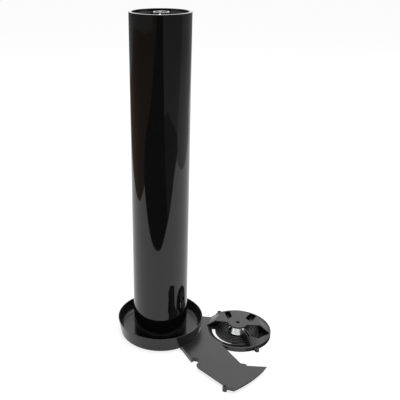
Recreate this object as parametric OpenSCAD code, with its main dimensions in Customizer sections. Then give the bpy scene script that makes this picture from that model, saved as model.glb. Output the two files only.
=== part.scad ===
// Spin cast feeder, knocked down: a hopper tube stands in its pan, and the spinner head lies beside it.
// Origin at the middle of the pan's underside, +Z up, millimetres.

/* [Hopper] */
// Outside diameter of the hopper tube
tube_d = 110; // [90:1:140]
// Wall of the hopper tube
tube_wall = 5.3; // [3:0.1:8]
// Length of the hopper tube
tube_len = 640; // [300:5:900]
// Break on the edges of the tube
tube_chamfer = 0.6; // [0.2:0.1:1.2]

/* [Pan] */
// From the outside of the tube to the outside of the pan's foot
trough_w = 27.5; // [15:0.5:50]
// How far the pan's wall leans out from foot to rim
pan_flare = 5.2; // [0:0.1:12]
// Height of the pan
pan_h = 32.5; // [20:0.5:60]
// Wall of the pan
pan_wall = 1.8; // [1.2:0.1:4]
// Floor of the pan
pan_floor = 3; // [2:0.1:6]
// Rounding of the pan's lower edge
pan_corner = 4; // [1:0.5:6]
// How far the pan's floor curves up to the wall
dish_rise = 14; // [6:0.5:18]
// Height of the spigot that centres the tube
spigot_h = 8; // [4:0.5:15]
// Wall of the spigot
spigot_wall = 2; // [1.5:0.1:4]

/* [Lid] */
// Depth of the lid's panel below the tube's rim
lid_drop = 5.4; // [4:0.1:20]
// Thickness of the lid
lid_t = 6; // [5:0.1:10]
// Raised lip round the lid
lid_lip_h = 0.8; // [0.3:0.1:2]
// Width of the lid's lip
lid_lip_w = 3; // [2:0.1:6]
// Width of the seat that the lid rests on
seat_w = 5; // [3:0.1:8]
// Height of the seat
seat_h = 5; // [3:0.1:10]
// Section of the lid's seal
seal_w = 2.4; // [1.5:0.1:4]
// Depth of the pilot below the lid
pilot_h = 4; // [2:0.1:10]
// Wall of the pilot
pilot_wall = 2; // [1.5:0.1:4]
// Turn of the lid about the tube
lid_turn = -8; // [-180:1:180]

/* [Lift ring] */
// Diameter of the ring, at the middle of its wire
lift_ring_d = 26; // [20:0.5:40]
// Diameter of the ring's wire
lift_wire_d = 2.6; // [2:0.1:5]
// Place of the ring's hinge, back from the middle of the lid
hinge_back = -3.5; // [-10:0.5:5]
// Width of the keeper
keeper_w = 4.4; // [3:0.1:8]
// Thickness of the keeper's strip
keeper_t = 1; // [0.6:0.1:2]
// Length of the keeper's tail
keeper_tail = 15; // [12:0.5:25]
// Diameter of the rivets
rivet_d = 2.2; // [1.5:0.1:3]

/* [Spinner head] */
// Height of the plate's top above the floor
plate_h = 8.65; // [7:0.05:12]
// Thickness of the plate
plate_t = 2.5; // [1.5:0.1:3.5]
// Thickness of the fences and of the ring's skirt
fence_t = 2; // [1.2:0.1:3]
// Bearing of the head, seen from the pan
head_bearing = -5.4; // [-20:0.1:10]
// From the saddle edge to the ring
saddle_gap = 8.5; // [5:0.5:20]
// From the saddle edge to the chute's mouth
chute_reach = 161.6; // [150:0.1:170]
// Width of the ring's flat top
ring_w = 2.8; // [2.4:0.1:3.1]
// Flat of the ring outside the shoulder
ring_land = 3.2; // [2:0.1:6]
// Width of the lip that slopes from the chute towards the spinner
lip_w = 18.4; // [16:0.1:19]
// How far the lip falls
lip_fall = 5.6; // [4:0.1:6]
// From the spinner's edge to the lip's opening
lip_gap = 3; // [2.8:0.1:4]
// Shift of the lip's opening towards the chute
lip_shift = 8.6; // [7:0.1:9]
// Thickness of the upright collar round the lip's opening
collar_t = 1.2; // [0.8:0.1:2]
// Length of the sloping shoulder that carries the hopper
shoulder_w = 18.5; // [12:0.5:25]
// Thickness of the arms
arm_t = 2.2; // [1.5:0.1:3]
// Step from the arms up to the hub
hub_step = 1; // [0.5:0.1:2]
// Diameter of the hub
hub_d = 39.8; // [36:0.1:42]
// Diameter of the hole in the hub
hub_hole_d = 8; // [4:0.1:10]
// Width of the front arm, which is a channel for the motor's lead
front_arm_w = 7; // [5:0.1:9]
// Wall of the front arm
front_arm_wall = 1.3; // [1:0.1:2]
// Diameter of the ears' screw holes
ear_hole_d = 4.8; // [3:0.1:5.4]
// Diameter of the ears
ear_d = 8.8; // [7:0.1:12]
// Diameter of the lug
lug_d = 8.8; // [7:0.1:10]
// Diameter of the lug's screw hole
lug_hole_d = 4.4; // [2.5:0.1:5]
// Width of the notch for the motor's lead
notch_w = 14.4; // [8:0.2:18]

/* [Motor] */
// Diameter of the motor
motor_d = 26; // [25:0.1:30]
// Diameter of the foot of the motor's tapered can
can_foot_d = 41; // [38:0.1:42]
// Length of the motor
motor_len = 15.4; // [14.5:0.1:20]
// Wall of the motor's can
can_wall = 1.2; // [0.8:0.1:1.6]
// Thickness of the motor's end plate
end_plate_t = 1.6; // [1.4:0.1:2.5]
// Diameter of the shaft
shaft_d = 3; // [2.5:0.1:4]
// Outside diameter of the bushes
bush_d = 7; // [6:0.1:9]
// Diameter of the motor screws
screw_d = 3; // [2:0.1:4]
// Spacing of the motor screws
screw_pcd = 18; // [15:0.5:18.5]
// Thickness of the magnets
magnet_t = 2.5; // [1.5:0.1:3]

/* [Spinner] */
// From the ring's inside to the spinner's edge
spinner_clear = 19.4; // [19:0.1:22]
// Thickness of the spinner's web
spinner_web = 1.8; // [1.2:0.1:2.4]
// Height of the spinner's hub
spinner_hub_h = 3.8; // [3.6:0.1:6]
// Diameter of the spinner's hub
spinner_hub_d = 14; // [10:0.5:20]
// Number of ridges on the spinner
ridge_count = 4; // [2:1:6]
// Width of a ridge
ridge_w = 2; // [1:0.1:3]

/* [Hidden] */
$fn = 96;

// Clearances: glued and pressed pieces, loose pieces, running fits and the overrun of a cut
press_clear = 0.02;
loose_clear = 0.3;
run_clear = 0.03;
cut = 1;

// Hopper and pan
tube_r = tube_d / 2;
bore_r = tube_r - tube_wall;
tube_top = pan_floor + tube_len;
pan_foot_r = tube_r + trough_w;
function pan_r(z) = pan_foot_r + pan_flare * z / pan_h;

// Lid and ring
lid_top = tube_top - lid_drop;
lid_r = bore_r - 2 * loose_clear;
seal_r = bore_r - loose_clear;
seat_in_r = bore_r - seat_w;
pilot_r = seat_in_r - 2 * loose_clear;
lift_wire_r = lift_wire_d / 2;
lift_ring_r = lift_ring_d / 2;
// The ring's wire bends away from the hinge line by this much across the keeper
eye_bow = lift_ring_r - sqrt(pow(lift_ring_r, 2) - pow(keeper_w / 2, 2));
eye_hole_r = lift_wire_r + eye_bow + loose_clear;
eye_r = eye_hole_r + keeper_t;
hinge_z = lid_top + eye_r;
rivet_head_d = 2 * rivet_d;
rivet_head_h = 0.8;
rivet_shank = 3;
rivet_first = eye_r + rivet_d;
rivet_pitch = keeper_tail - rivet_first - rivet_d;

// Heights in the head, from the floor up
spinner_lift = 1.2;
spin_gap = 0.5;
can_z = spinner_lift + spinner_hub_h + spin_gap;
arm_under = can_z + motor_len;
arm_top = arm_under + arm_t;
hub_top = arm_top + hub_step;
plate_under = plate_h - plate_t;
level_step = 0.3;
ring_top = plate_h + level_step;
ring_under = plate_under - level_step;
ear_drop = 1.75;
ear_top = plate_h - ear_drop;
lug_rise = 1.2;
lug_top = plate_h + lug_rise;
ridge_gap = 0.95;
ridge_top = plate_under - ridge_gap;

// Plan of the head
saddle_clear = 0.5;
saddle_r = pan_r(plate_h) + saddle_clear;
mouth_clear = 3.2;
arm_flat_r = bore_r - mouth_clear;
shoulder_r = arm_flat_r + shoulder_w;
ring_r = shoulder_r + ring_land;
ring_in_r = ring_r - ring_w;
throat_inset = 7.2;
throat_r = ring_r - throat_inset;
can_r = motor_d / 2;
can_foot_r = can_foot_d / 2;
hub_r = hub_d / 2;
head_d = saddle_r + saddle_gap + ring_r;
head_x = head_d * cos(head_bearing);
head_y = head_d * sin(head_bearing);
mouth_r = saddle_r + chute_reach;
far_r = 2 * ring_r;
function polar(r, az) = [r * cos(az), r * sin(az)];
function from_pan(out, az) = polar(saddle_r + out, az);
function from_head(r, az) = [head_x, head_y] + polar(r, az);

// Plate corners as distance out from the saddle edge and bearing from the pan
back_joint_az = 124;
front_joint_az = -125;
left_top = from_pan(4.3, -61.5);
left_end = from_pan(48.2, -63);
right_start = from_head(ring_r - fence_t / 2, front_joint_az);
right_end = from_pan(117, -40.3);
lug_at = from_pan(145, -59.4);
plate_corners = [
    from_pan(-8, 23), from_pan(11.3, 18.1), from_pan(27.4, 14),
    from_head(ring_r - fence_t / 2, back_joint_az), [head_x, head_y], right_start,
    right_end, from_pan(125.4, -39.1), from_pan(130.5, -39.8),
    from_pan(chute_reach + 12, -33.4), from_pan(chute_reach + 11, -55.7),
    from_pan(149, -59.9), from_pan(139, -59.2), from_pan(74.4, -63.6), from_pan(66.4, -63.1),
    from_pan(62.1, -60.3), left_end, left_top, from_pan(-8, -64)
];
// The step from a line to the line beside it, to the left when t is positive
function beside(p, q, t) = t * [p.y - q.y, q.x - p.x] / norm(q - p);
left_in = beside(left_top, left_end, fence_t);
right_in = beside(right_start, right_end, -fence_t);
// Hollow under the plate, which leaves the fences standing and runs out past the open edges
pocket_corners = [
    from_pan(-8, -58), left_top + left_in, left_end + left_in, from_pan(50, -72), from_pan(150, -72),
    from_pan(chute_reach + 40, -58), from_pan(chute_reach + 40, -30), right_end - 5 * right_in,
    right_end + right_in, right_start + right_in, [head_x, head_y], from_pan(60, 40), from_pan(-8, 40)
];
notch_at = from_pan(53.2, -61);
notch_az = -104;
notch_depth = 7;
notch_mouth = notch_at + polar(notch_depth, notch_az);
notch_corners = concat(
    [for (a = [90:15:270]) notch_at + polar(notch_w / 2, notch_az + a)],
    [for (a = [270, 90]) notch_mouth + polar(notch_w / 2, notch_az + a)]
);
tie_hole_d = 3.2;
tie_holes = [from_pan(152.4, -58.5), from_pan(156.8, -57.6)];
tab_hole_d = 2.4;
tab_hole = from_pan(68.8, -60.5);
ear_az = 116;
ear_reach = 4.3;
ear_pcd_r = ring_r + ear_reach;

// Arm that carries the motor's lead to the front
front_arm_az = -69;

// Lip on the chute's side: its inner edge, and the opening that leaves a crescent round the spinner
lip_in_r = ring_in_r - lip_w;
lip_t = 1.4;
lip_top = ring_top - 2 * level_step;
lip_foot = lip_top - lip_fall - lip_t;
lip_az = 238;
spinner_r = ring_in_r - spinner_clear;
lip_open_r = spinner_r + lip_gap;
lip_start = 150;
lip_end = 360 + front_arm_az;
function lip_span(from, to) = [
    [0, 0], polar(far_r, from), polar(far_r, 200), polar(far_r, 250), polar(far_r, to)
];
collar_top = ring_top - level_step / 2;

// Low tray under the rest of the spinner's edge, which keeps the feed off the floor
tray_foot = 0.15;
tray_top = 0.85;
tray_in_r = spinner_r - 6;
tray_sector = [
    [0, 0], polar(far_r, -112), polar(far_r, -60), polar(far_r, 0), polar(far_r, 60),
    polar(far_r, 120), polar(far_r, 169)
];

// Arms as radius and bearing round the hub: the sectors that they fill and the two feed slots in them
slot_over = 0.8;
slot_end_r = shoulder_r + slot_over;
arm_sector = [
    polar(hub_r - 1, -26), polar(arm_flat_r, -12.6), polar(ring_r, -13.4), polar(far_r, 0),
    polar(far_r, 60), polar(far_r, 120), polar(far_r, 160), polar(ring_r, 170),
    polar(arm_flat_r, 170), polar(hub_r - 1, 175)
];
feed_slot_a = [
    polar(hub_r + 4.9, 112), polar(arm_flat_r - 2.8, 106), polar(slot_end_r, 100),
    polar(slot_end_r, 109), polar(arm_flat_r - 2.6, 122.5), polar(hub_r + 2.6, 151.6)
];
feed_slot_b = [
    polar(hub_r + 4.4, 43.2), polar(hub_r + 7.7, 1.7), polar(hub_r + 14.4, 13.7),
    polar(arm_flat_r + 0.6, 29.2), polar(slot_end_r, 45), polar(slot_end_r, 59),
    polar(arm_flat_r - 0.5, 48.3)
];
front_sector = [
    polar(arm_flat_r + 1.5, front_arm_az), polar(arm_flat_r + 3.1, -66), polar(arm_flat_r + 6.5, -58.5),
    polar(arm_flat_r + 11, -50), polar(arm_flat_r + 12.5, -36), polar(ring_r, -13.4),
    polar(far_r, -8), polar(far_r, -40), polar(far_r, front_arm_az - 3)
];
// Height of the sloping shoulder's top at a radius from the hub
function shoulder_z(r) = plate_h + (shoulder_r - r) * (arm_top - plate_h) / shoulder_w;
front_arm_foot = ridge_top + 1;
channel_z = arm_under - 8;

// Motor, from its can's foot up
can_top = arm_under;
can_in_r = can_r - can_wall;
end_plate_z = can_top - end_plate_t;
shaft_r = shaft_d / 2;
bush_r = bush_d / 2;
bush_h = 2.8;
bush_hole_r = shaft_r + run_clear;
bush_skin = 0.6;
upper_bush_top = can_top - bush_skin;
upper_bush_h = 2.2;
washer_t = 0.5;
washer_r = bush_r - loose_clear;
wash_gap = 0.05;
lower_washer_z = can_z + bush_h + wash_gap;
upper_washer_z = upper_bush_top - upper_bush_h - wash_gap - washer_t;
coil_z = lower_washer_z + washer_t + wash_gap;
commutator_h = 2.6;
commutator_r = 4;
commutator_z = upper_washer_z - wash_gap - commutator_h;
coil_clear = 0.2;
coil_top = commutator_z - coil_clear;
coil_end = 1;
core_z = coil_z + coil_end;
core_top = coil_top - coil_end;
magnet_r = can_in_r - magnet_t;
magnet_span = 140;
magnet_z = coil_z;
magnet_top = coil_top;
air_gap = 0.5;
core_r = magnet_r - air_gap;
poles = 5;
slot_mid_r = 0.6 * core_r;
slot_r = 0.22 * core_r;
slot_mouth = 1.6;
neck_half = slot_mid_r * sin(180 / poles) - slot_r;
coil_gap = 0.25;
coil_in_r = slot_mid_r * cos(180 / poles) - 0.3 * slot_r;
coil_out_r = slot_mid_r * cos(180 / poles) + 0.3 * slot_r;
coil_half = neck_half + 0.5 * coil_gap + 0.55 * slot_r;
brush_w = 3;
brush_out_r = 9.5;
tab_w = 4;
tab_t = 0.8;
tab_in_r = 9.8;
tab_reach = 7;
tab_out_r = can_r + tab_reach;
tab_az = [82, 128];
screw_az = [25, 205];
screw_head_d = 2 * screw_d;

// Spinner, from its underside up
spinner_hub_r = spinner_hub_d / 2;
screw_wall = 0.55;
spinner_screw_r = shaft_r - screw_wall;
screw_recess_r = 3;
screw_recess_h = 1.4;
shaft_foot = spinner_lift + screw_recess_h + bush_skin;
shaft_top = upper_bush_top - wash_gap;
thread_depth = 2.6;
// The ridges run from clear of the motor to a plain flange at the edge
ridge_inset = 5.2;
spinner_flange = 2;
ridge_first = can_foot_r + ridge_inset;
ridge_pitch = (spinner_r - spinner_flange - ridge_w / 2 - ridge_first) / (ridge_count - 1);

// A round bar and a tube, standing on z
module bar(r, z, top) { translate([0, 0, z]) cylinder(r = r, h = top - z); }
module pipe(r, hole_r, z, top) {
    difference() {
        bar(r, z, top);
        bar(hole_r, z - cut, top + cut);
    }
}
module at_head() { translate([head_x, head_y, 0]) children(); }
module at_lid() { rotate([0, 0, lid_turn]) children(); }
module slab(corners, z, top) { translate([0, 0, z]) linear_extrude(top - z) polygon(corners); }
module feed_pan() {
    lean = pan_r(pan_corner) - pan_corner;
    foot = [for (a = [0:15:90]) [lean + pan_corner * sin(a), pan_corner * (1 - cos(a))]];
    dish_in_r = tube_r + 2;
    dish_z = pan_floor + dish_rise;
    dish_out_r = pan_r(dish_z) - pan_wall;
    turn_r = pan_r(pan_floor) - pan_wall;
    dish = [for (t = [1:-0.125:0]) [
        dish_in_r * pow(1 - t, 2) + turn_r * 2 * t * (1 - t) + dish_out_r * pow(t, 2),
        pan_floor + dish_rise * pow(t, 2)
    ]];
    color("#242526") {
        rotate_extrude() polygon(concat(
            [[0, 0]], foot, [[pan_r(pan_h), pan_h], [pan_r(pan_h) - pan_wall, pan_h]], dish,
            [[0, pan_floor]]
        ));
        pipe(bore_r - loose_clear, bore_r - loose_clear - spigot_wall, pan_floor - cut, pan_floor + spigot_h);
    }
}

module hopper_tube() {
    color("#101112") translate([0, 0, pan_floor]) rotate_extrude() polygon([
        [bore_r, tube_chamfer], [bore_r + tube_chamfer, 0], [tube_r - tube_chamfer, 0],
        [tube_r, tube_chamfer], [tube_r, tube_len - tube_chamfer], [tube_r - tube_chamfer, tube_len],
        [bore_r + tube_chamfer, tube_len], [bore_r, tube_len - tube_chamfer]
    ]);
}

module lid_seat() {
    color("#1a1b1c") pipe(
        bore_r - press_clear, seat_in_r, lid_top - lid_t - seat_h, lid_top - lid_t - press_clear
    );
}

module lid_plug() {
    seal_mid = lid_top - lid_t / 2;
    color("#161718") at_lid() difference() {
        union() {
            bar(lid_r, lid_top - lid_t, lid_top);
            pipe(lid_r, lid_r - lid_lip_w, lid_top - cut, lid_top + lid_lip_h);
            pipe(pilot_r, pilot_r - pilot_wall, lid_top - lid_t - pilot_h, lid_top - lid_t + cut);
        }
        pipe(
            lid_r + cut, seal_r - seal_w - press_clear,
            seal_mid - seal_w / 2 - press_clear, seal_mid + seal_w / 2 + press_clear
        );
        at_rivets() bar(rivet_d / 2 + press_clear, lid_top - rivet_shank - press_clear, lid_top + cut);
    }
}

module lid_seal() {
    seal_mid = lid_top - lid_t / 2;
    color("#0c0c0d") pipe(seal_r, seal_r - seal_w, seal_mid - seal_w / 2, seal_mid + seal_w / 2);
}

module at_rivets() {
    for (i = [0:1]) translate([0, hinge_back - rivet_first - i * rivet_pitch, 0]) children();
}

module ring_keeper() {
    color("#d7d9da") at_lid() difference() {
        union() {
            translate([-keeper_w / 2, hinge_back, hinge_z])
                rotate([0, 90, 0]) cylinder(r = eye_r, h = keeper_w);
            translate([-keeper_w / 2, hinge_back - keeper_tail, lid_top])
                cube([keeper_w, keeper_tail, keeper_t]);
        }
        translate([-keeper_w / 2 - cut, hinge_back, hinge_z])
            rotate([0, 90, 0]) cylinder(r = eye_hole_r, h = keeper_w + 2 * cut);
        at_rivets() bar(rivet_d / 2 + press_clear, lid_top - cut, lid_top + keeper_t + cut);
    }
}

module keeper_rivets() {
    head_z = lid_top + keeper_t;
    color("#c4c6c8") at_lid() at_rivets() {
        bar(rivet_d / 2, lid_top - rivet_shank, head_z + rivet_head_h / 2);
        translate([0, 0, head_z])
            cylinder(r1 = rivet_head_d / 2, r2 = rivet_head_d / 3, h = rivet_head_h);
    }
}

module lift_ring() {
    color("#dfe1e2") at_lid() translate([0, hinge_back + lift_ring_r, hinge_z])
        rotate_extrude() translate([lift_ring_r, 0]) circle(r = lift_wire_r);
}

// Plate of the head: a full-height slab, hollowed from below so that the saddle lip and two fences stay
module chute_plate() {
    difference() {
        union() {
            difference() {
                intersection() {
                    slab(plate_corners, 0, plate_h);
                    bar(mouth_r, -cut, plate_h + cut);
                }
                bar(saddle_r, -cut, plate_h + cut);
                slab(notch_corners, -cut, plate_h + cut);
                difference() {
                    slab(pocket_corners, -cut, plate_under);
                    bar(saddle_r + fence_t, -2 * cut, plate_h);
                    translate(notch_at) bar(notch_w / 2 + fence_t, -2 * cut, plate_h);
                }
                at_head() bar(ring_r - fence_t / 2, -cut, plate_under);
                at_head() bar(throat_r, -cut, plate_h + cut);
            }
            translate(lug_at) bar(lug_d / 2, 0, lug_top);
        }
        for (p = tie_holes) translate(p) bar(tie_hole_d / 2, -cut, plate_h + cut);
        translate(tab_hole) bar(tab_hole_d / 2, -cut, plate_h + cut);
        translate(lug_at) bar(lug_hole_d / 2, -cut, lug_top + cut);
    }
}

// Ring with its skirt, which is open towards the plate, the lip with its collar, the tray and the two ears
module head_ring() {
    lap = 2;
    open_sector = [
        [0, 0], polar(far_r, back_joint_az + lap), polar(far_r, 180), polar(far_r, front_joint_az - lap)
    ];
    difference() {
        rotate_extrude() polygon([
            [ring_in_r, ring_under], [ring_r - fence_t, ring_under], [ring_r - fence_t, 0], [ring_r, 0],
            [ring_r, ring_top], [ring_in_r, ring_top]
        ]);
        slab(open_sector, -cut, ring_top + cut);
    }
    difference() {
        intersection() {
            rotate_extrude() polygon([
                [lip_in_r, lip_foot], [ring_in_r + lap / 2, ring_under + 2 * level_step],
                [ring_in_r + lap / 2, lip_top], [ring_in_r, lip_top], [lip_in_r, lip_foot + lip_t]
            ]);
            slab(lip_span(lip_start, lip_end), 0, ring_top);
        }
        translate(polar(lip_shift, lip_az)) bar(lip_open_r, 0, ring_top);
    }
    intersection() {
        translate(polar(lip_shift, lip_az))
            pipe(lip_open_r + collar_t, lip_open_r - level_step, 0, collar_top);
        rotate_extrude() polygon([
            [lip_in_r, lip_foot + level_step], [ring_in_r, ring_under + 3 * level_step],
            [ring_in_r, ring_top], [lip_in_r, ring_top]
        ]);
        slab(lip_span(lip_start + 1, lip_end - 1), 0, ring_top);
    }
    intersection() {
        pipe(ring_r - fence_t / 2, tray_in_r, tray_foot, tray_top);
        slab(tray_sector, 0, plate_h);
    }
    for (az = [ear_az, ear_az + 180]) rotate([0, 0, az]) {
        translate([ear_pcd_r, 0, 0]) bar(ear_d / 2, 0, ear_top);
        translate([ring_r - fence_t / 2, -ear_d / 2 + level_step, level_step])
            cube([ear_pcd_r - ring_r + fence_t / 2, ear_d - 2 * level_step, ear_top - 2 * level_step]);
    }
}

// Arms with their sloping shoulder, cut by the feed slots, and the channelled front arm
module head_arms() {
    tuck = 1;
    shoulder_skin = 3.6;
    shoulder_foot_r = shoulder_r + tuck * shoulder_w / (arm_top - plate_h);
    arm_end_r = ring_in_r + tuck;
    arm_skin = level_step;
    difference() {
        intersection() {
            rotate_extrude() polygon([
                [0, arm_under + arm_skin], [arm_flat_r - tuck, arm_under + arm_skin],
                [shoulder_r - shoulder_skin, plate_h - tuck], [shoulder_foot_r, plate_h - tuck],
                [arm_flat_r, arm_top], [0, arm_top]
            ]);
            union() {
                slab(arm_sector, 0, hub_top);
                slab(front_sector, 0, hub_top);
            }
        }
        slab(feed_slot_a, 0, hub_top);
        slab(feed_slot_b, 0, hub_top);
    }
    difference() {
        front_arm_slice(front_arm_w, [
            [can_foot_r + tuck, front_arm_foot], [arm_end_r, front_arm_foot],
            [arm_end_r, shoulder_z(arm_end_r) - arm_skin], [arm_flat_r, arm_top - arm_skin],
            [hub_r - tuck, arm_top - arm_skin], [hub_r - tuck, arm_under + tuck],
            [can_foot_r + tuck, arm_under + tuck]
        ]);
        front_arm_slice(front_arm_w - 2 * front_arm_wall, [
            [hub_r + tuck, channel_z], [arm_flat_r, channel_z],
            [arm_end_r - 2 * tuck, front_arm_foot + 2 * tuck], [arm_end_r - 2 * tuck, hub_top],
            [hub_r + tuck, hub_top]
        ]);
    }
}

// A slice of the head along the front arm, from its side view as radius and height
module front_arm_slice(w, side_view) {
    rotate([90, 0, front_arm_az]) translate([0, 0, -w / 2]) linear_extrude(w) polygon(side_view);
}

module head_cover() {
    hub_edge = 0.6;
    color("#2a2b2c") difference() {
        union() {
            chute_plate();
            at_head() {
                head_ring();
                head_arms();
                bar(hub_r, arm_under, hub_top - hub_edge);
                translate([0, 0, hub_top - hub_edge])
                    cylinder(r1 = hub_r, r2 = hub_r - hub_edge, h = hub_edge);
            }
        }
        at_head() {
            bar(hub_hole_d / 2, arm_under - cut, hub_top + cut);
            for (az = screw_az) translate(polar(screw_pcd / 2, az)) screw_shape(press_clear, cut);
            for (az = [ear_az, ear_az + 180]) translate(polar(ear_pcd_r, az))
                bar(ear_hole_d / 2, -cut, ear_top + cut);
        }
    }
}

// A countersunk screw through the hub, grown all round by a clearance and raised by an overrun
module screw_shape(grow, over) {
    shank_foot = end_plate_z + bush_skin;
    head_h = (screw_head_d - screw_d) / 2;
    bar(screw_d / 2 + grow, shank_foot - grow, hub_top - head_h / 2);
    translate([0, 0, hub_top - head_h])
        cylinder(r1 = screw_d / 2 + grow, r2 = screw_head_d / 2 + grow, h = head_h);
    if (over > 0) bar(screw_head_d / 2 + grow, hub_top, hub_top + over);
}

module motor_screws() {
    color("#2c2d2f") at_head()
        for (az = screw_az) translate(polar(screw_pcd / 2, az)) screw_shape(0, 0);
}

module motor_can() {
    color("#cfd2d4") at_head() difference() {
        rotate_extrude() polygon([
            [0, can_z], [can_foot_r, can_z], [can_foot_r, can_z + can_wall], [can_r, can_top], [0, can_top]
        ]);
        bar(can_in_r, can_z + can_wall, can_top + cut);
        bar(bush_r + press_clear, can_z - cut, can_top);
        for (az = tab_az) rotate([0, 0, az])
            translate([tab_in_r, -tab_w / 2 - loose_clear, end_plate_z - tab_t - loose_clear])
                cube([can_foot_r, tab_w + 2 * loose_clear, motor_len]);
    }
}

module motor_end_plate() {
    color("#1c1d1e") at_head() difference() {
        union() {
            bar(can_in_r - press_clear, end_plate_z, can_top);
            bar(bush_r + can_wall, upper_bush_top - upper_bush_h, end_plate_z + cut);
        }
        bar(bush_r + press_clear, end_plate_z - upper_bush_h, upper_bush_top);
        for (az = screw_az) translate(polar(screw_pcd / 2, az)) screw_shape(press_clear, cut);
    }
}

module motor_magnets() {
    color("#4b4c4e") at_head()
        for (az = [0, 180]) rotate([0, 0, az - magnet_span / 2]) translate([0, 0, magnet_z])
            rotate_extrude(angle = magnet_span)
                translate([magnet_r, 0]) square([magnet_t - press_clear, magnet_top - magnet_z]);
}

module upper_bush() {
    color("#a9814a") at_head() pipe(bush_r, bush_hole_r, upper_bush_top - upper_bush_h, upper_bush_top);
}

module lower_bush() {
    color("#a9814a") at_head() pipe(bush_r, bush_hole_r, can_z, can_z + bush_h);
}

module brushes() {
    brush_lift = 0.4;
    brush_clear = 0.1;
    brush_z = commutator_z + brush_lift;
    color("#39393b") at_head() for (az = [0, 180]) rotate([0, 0, az]) difference() {
        translate([0, -brush_w / 2, brush_z]) cube([brush_out_r, brush_w, end_plate_z - brush_z]);
        bar(commutator_r + brush_clear, brush_z - cut, upper_washer_z);
        bar(bush_r + can_wall + brush_clear, upper_washer_z - cut, end_plate_z + cut);
    }
}

module terminal_tabs() {
    color("#b08d4f") at_head() for (az = tab_az) rotate([0, 0, az])
        translate([tab_in_r, -tab_w / 2, end_plate_z - tab_t]) cube([tab_out_r - tab_in_r, tab_w, tab_t]);
}

module motor_shaft() {
    color("#c9ccce") at_head() difference() {
        bar(shaft_r, shaft_foot, shaft_top);
        bar(spinner_screw_r + press_clear, shaft_foot - cut, shaft_foot + thread_depth);
    }
}

module armature_core() {
    color("#6b6d70") at_head() difference() {
        bar(core_r, core_z, core_top);
        bar(shaft_r + press_clear, core_z - cut, core_top + cut);
        for (i = [0:poles - 1]) rotate([0, 0, (i + 0.5) * 360 / poles]) {
            translate([slot_mid_r, 0, 0]) bar(slot_r, core_z - cut, core_top + cut);
            translate([slot_mid_r, -slot_mouth / 2, core_z - cut])
                cube([core_r, slot_mouth, core_top - core_z + 2 * cut]);
        }
    }
}

// A closed winding round each pole's neck
module armature_coils() {
    neck = neck_half + coil_gap;
    color("#a5552b") at_head() for (i = [0:poles - 1]) rotate([0, 0, i * 360 / poles]) difference() {
        translate([coil_in_r, -coil_half, coil_z])
            cube([coil_out_r - coil_in_r, 2 * coil_half, coil_top - coil_z]);
        translate([0, -neck, core_z - coil_gap])
            cube([core_r, 2 * neck, core_top - core_z + 2 * coil_gap]);
    }
}

module commutator() {
    groove = 0.4;
    color("#b87333") at_head() difference() {
        pipe(commutator_r, shaft_r + press_clear, commutator_z, commutator_z + commutator_h);
        for (i = [0:poles - 1]) rotate([0, 0, (i + 0.5) * 360 / poles])
            translate([commutator_r - groove, -groove / 2, commutator_z - cut])
                cube([2 * groove, groove, commutator_h + 2 * cut]);
    }
}

module thrust_washers() {
    color("#d9d4c4") at_head() for (z = [lower_washer_z, upper_washer_z])
        pipe(washer_r, shaft_r + press_clear, z, z + washer_t);
}

module spinner_disc() {
    color("#262728") at_head() difference() {
        union() {
            bar(spinner_r, spinner_lift, spinner_lift + spinner_web);
            bar(spinner_hub_r, spinner_lift, spinner_lift + spinner_hub_h);
            for (i = [0:ridge_count - 1])
                pipe(ridge_first + i * ridge_pitch + ridge_w / 2, ridge_first + i * ridge_pitch - ridge_w / 2,
                    spinner_lift, ridge_top);
        }
        bar(screw_recess_r, spinner_lift - cut, spinner_lift + screw_recess_h);
        bar(spinner_screw_r + press_clear, spinner_lift, shaft_foot + cut);
        bar(shaft_r + press_clear, shaft_foot, can_z);
    }
}

module spinner_screw() {
    head_foot = 0.1;
    color("#b9bcbe") at_head() {
        bar(screw_recess_r - loose_clear, spinner_lift + head_foot, spinner_lift + screw_recess_h);
        bar(spinner_screw_r, spinner_lift + head_foot, shaft_foot + thread_depth - head_foot);
    }
}

feed_pan();
hopper_tube();
lid_seat();
lid_plug();
lid_seal();
ring_keeper();
keeper_rivets();
lift_ring();
head_cover();
motor_can();
motor_end_plate();
motor_magnets();
upper_bush();
lower_bush();
brushes();
terminal_tabs();
motor_screws();
motor_shaft();
armature_core();
armature_coils();
commutator();
thrust_washers();
spinner_disc();
spinner_screw();
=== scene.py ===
"""Spin cast feeder, knocked down: the hopper tube stands in its pan and the spinner head lies beside it.

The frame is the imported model's: origin under the middle of the pan, +Z up, metres.
Sizes of the pieces are in millimetres and turn into metres where a mesh is filled. The stage is in metres.
"""
import math

import bmesh
import bpy
import numpy as np
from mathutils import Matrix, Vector


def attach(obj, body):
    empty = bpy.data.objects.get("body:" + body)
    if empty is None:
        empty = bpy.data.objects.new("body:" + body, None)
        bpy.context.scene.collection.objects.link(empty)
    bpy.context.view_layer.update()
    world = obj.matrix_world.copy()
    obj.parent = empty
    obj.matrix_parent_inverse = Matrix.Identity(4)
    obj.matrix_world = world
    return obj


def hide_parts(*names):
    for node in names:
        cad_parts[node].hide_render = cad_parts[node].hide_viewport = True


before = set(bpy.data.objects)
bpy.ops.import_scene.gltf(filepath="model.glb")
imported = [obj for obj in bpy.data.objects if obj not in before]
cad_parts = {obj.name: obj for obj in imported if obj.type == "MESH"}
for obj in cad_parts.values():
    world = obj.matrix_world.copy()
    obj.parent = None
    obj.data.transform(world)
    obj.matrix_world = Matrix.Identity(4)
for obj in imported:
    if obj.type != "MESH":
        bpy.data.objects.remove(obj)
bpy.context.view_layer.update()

MM = 0.001
scene = bpy.context.scene

# Clearances
PRESS_CLEAR, LOOSE_CLEAR = 0.02, 0.3

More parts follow.
